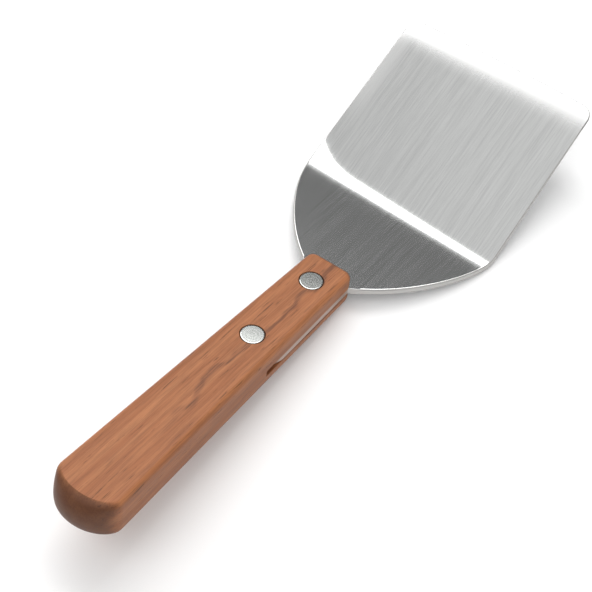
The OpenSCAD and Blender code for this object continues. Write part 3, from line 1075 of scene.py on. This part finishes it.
def soft_room(stage):
    """The light: a pale ceiling over dim walls, with four paler places in them.

    A softbox hangs over the far side and a panel over the near side, a card stands at the right
    side, and a white cove lies low behind the far left side.
    """
    world = bpy.data.worlds.new("Soft room")
    world.use_nodes = True
    world.node_tree.nodes.clear()
    nodes = Nodes(world.node_tree)
    front, left, up = nodes.axes(nodes.place("Generated"))
    over = nodes.math("MAXIMUM", up, 0.01)
    far, aside = nodes.math("DIVIDE", front, over), nodes.math("DIVIDE", left, over)
    above = nodes.range(up, 0.02, 0.1)

    def hung(far_run, aside_run, soft):
        """A lit rectangle overhead, from its two runs on a ceiling one metre up."""
        sides = nodes.strip(far, *far_run, soft), nodes.strip(aside, *aside_run, soft)
        return nodes.times(above, *sides)

    softbox = hung((0.30, 0.88), (-0.1, 2.0), 0.03)
    panel = hung((-1.0, -0.3), (-0.9, 0.7), 0.1)
    room = nodes.range(up, 0.62, 0.82, stage.walls, stage.ceiling)
    behind = nodes.range(front, -0.3, 0.3, 0.5, 1.0)
    room = nodes.times(room, nodes.math("MAXIMUM", behind, nodes.range(up, 0.8, 0.97)))
    right = nodes.range(left, -0.75, -0.45, 1.0, 0.0)
    card = nodes.times(right, nodes.range(front, -0.55, -0.3), stage.card)
    far_left = nodes.range(nodes.math("ADD", front, left), 0.5, 0.9)
    cove = nodes.times(nodes.range(up, 0.15, 0.35, 1.0, 0.0), far_left, stage.cove)
    room = nodes.math("MAXIMUM", room, card, cove)
    lamps = nodes.times(softbox, stage.softbox), nodes.times(panel, stage.panel)
    room = nodes.math("ADD", room, *lamps)
    sky = nodes.first("ShaderNodeBackground", {"Color": (1, 1, 1, 1), "Strength": room})
    nodes.add("ShaderNodeOutputWorld", {"Surface": sky})
    return world


# ---- operators ----


class TURNER_OT_blade(Operator):
    """Make the blade: tang, shoulder, bend and leaf from one sheet"""

    bl_idname = "turner.blade"
    bl_label = "Blade"

    def execute(self, context):
        settings = context.scene.turner
        blade = settings.blade
        rest = Rest(blade)
        places, normals, faces, flat, rounded = blade_mesh(blade, settings.handle, settings.rivets)
        piece = add_piece("turner_blade", rest.points(places), faces, brushed_steel(blade))
        mesh = piece.data
        corners = np.zeros(len(mesh.loops), np.int32)
        mesh.loops.foreach_get("vertex_index", corners)
        # The map holds the flat sheet, ten times as large and with its bend in the middle
        flat_map = flat[corners][:, ::-1] * 10 + 0.5
        uv = mesh.uv_layers.new(name="Brushing")
        uv.data.foreach_set("uv", flat_map.astype(np.float32).ravel())
        mesh.attributes.new("Rounded", "FLOAT", "POINT").data.foreach_set("value", rounded)
        mesh.normals_split_custom_set_from_vertices([tuple(n) for n in rest.directions(normals)])
        finish_piece(piece, "blade")
        return {"FINISHED"}


class TURNER_OT_handle(Operator):
    """Make the wooden handle with its saw cut and rivet seats"""

    bl_idname = "turner.handle"
    bl_label = "Handle"

    def execute(self, context):
        settings = context.scene.turner
        blade, handle, rivets = settings.blade, settings.handle, settings.rivets
        rest = Rest(blade)
        wood = oiled_wood(handle, rest)
        points, faces = loft(handle_rings(handle))
        piece = add_piece("turner_handle", rest.points(points), faces, wood)
        tools = [saw_cut(blade, handle, rivets)]
        tools += [rivet_hole(handle, rivets, s) for s in rivet_places(rivets)]
        for points, faces in tools:
            cut(piece, add_piece("cutter", rest.points(points), faces, wood))
        sharpen(piece, degrees=32)
        finish_piece(piece, "handle")
        return {"FINISHED"}


class TURNER_OT_rivets(Operator):
    """Make the two cutler's rivets, each a tubular half and a solid half"""

    bl_idname = "turner.rivets"
    bl_label = "Rivets"

    def execute(self, context):
        settings = context.scene.turner
        handle, rivets = settings.handle, settings.rivets
        rest = Rest(settings.blade)
        roughness = (rivets.front_roughness, rivets.rear_roughness)
        for name, s, rough in zip(("front", "rear"), rivet_places(rivets), roughness):
            low, high = head_heights(handle, s)
            sleeve, post = rivet_halves(rivets, low, high)
            for half, profile, level in (("sleeve", sleeve, high), ("post", post, low)):
                points, faces = spin(profile, RIVET_STEPS)
                moved = rest.points([(x - handle.front - s, y, z) for x, y, z in points])
                centre = tuple(rest.points([(-handle.front - s, 0, level)])[0])
                metal = turned_metal(rivets, f"Turned aluminium {name} {half}", centre, rough)
                piece = add_piece(f"turner_{name}_rivet_{half}", moved, faces, metal)
                outward(piece)
                sharpen(piece, degrees=35)
                finish_piece(piece, f"{name}_rivet_{half}")
        return {"FINISHED"}


class TURNER_OT_stage(Operator):
    """Set up the floor, the light of the room and the camera"""

    bl_idname = "turner.stage"
    bl_label = "Studio"

    def execute(self, context):
        stage = context.scene.turner.stage
        scene = context.scene
        scene.view_settings.view_transform = "Standard"

        reach = stage.paper_size / 2
        corners = [(x * reach, y * reach, 0) for x, y in ((-1, -1), (1, -1), (1, 1), (-1, 1))]
        floor = add_piece("floor", corners, [(0, 1, 2, 3)], white_paper(stage))
        scene.world = soft_room(stage)

        camera = bpy.data.cameras.new("camera")
        camera.lens = stage.lens
        camera.sensor_width = 36
        camera.clip_start = 0.01
        holder = bpy.data.objects.new("camera", camera)
        scene.collection.objects.link(holder)
        holder.location = stage.camera_place
        level = Vector(stage.camera_way).to_track_quat("-Z", "Y")
        holder.rotation_euler = (level @ Quaternion((0, 0, 1), stage.camera_roll)).to_euler()
        scene.camera = holder
        return {"FINISHED"}


class TURNER_PT_panel(Panel):
    """Lists the pieces of the turner and their sizes"""

    bl_idname = "TURNER_PT_panel"
    bl_label = "Kitchen turner"
    bl_space_type = "VIEW_3D"
    bl_region_type = "UI"
    bl_category = "Turner"

    def draw(self, context):
        settings = context.scene.turner
        for operator, group in (
            ("turner.blade", settings.blade),
            ("turner.handle", settings.handle),
            ("turner.rivets", settings.rivets),
            ("turner.stage", settings.stage),
        ):
            box = self.layout.box()
            box.operator(operator)
            for name in group.__annotations__:
                box.prop(group, name)


CLASSES = (
    TurnerBladeSettings,
    TurnerHandleSettings,
    TurnerRivetSettings,
    TurnerStageSettings,
    TurnerSettings,
    TURNER_OT_blade,
    TURNER_OT_handle,
    TURNER_OT_rivets,
    TURNER_OT_stage,
    TURNER_PT_panel,
)


def register():
    for cls in CLASSES:
        bpy.utils.register_class(cls)
    bpy.types.Scene.turner = PointerProperty(type=TurnerSettings)


def unregister():
    del bpy.types.Scene.turner
    for cls in reversed(CLASSES):
        bpy.utils.unregister_class(cls)


def main():
    register()
    bpy.ops.turner.stage()
    bpy.ops.turner.blade()
    bpy.ops.turner.handle()
    bpy.ops.turner.rivets()


if __name__ == "__main__":
    main()
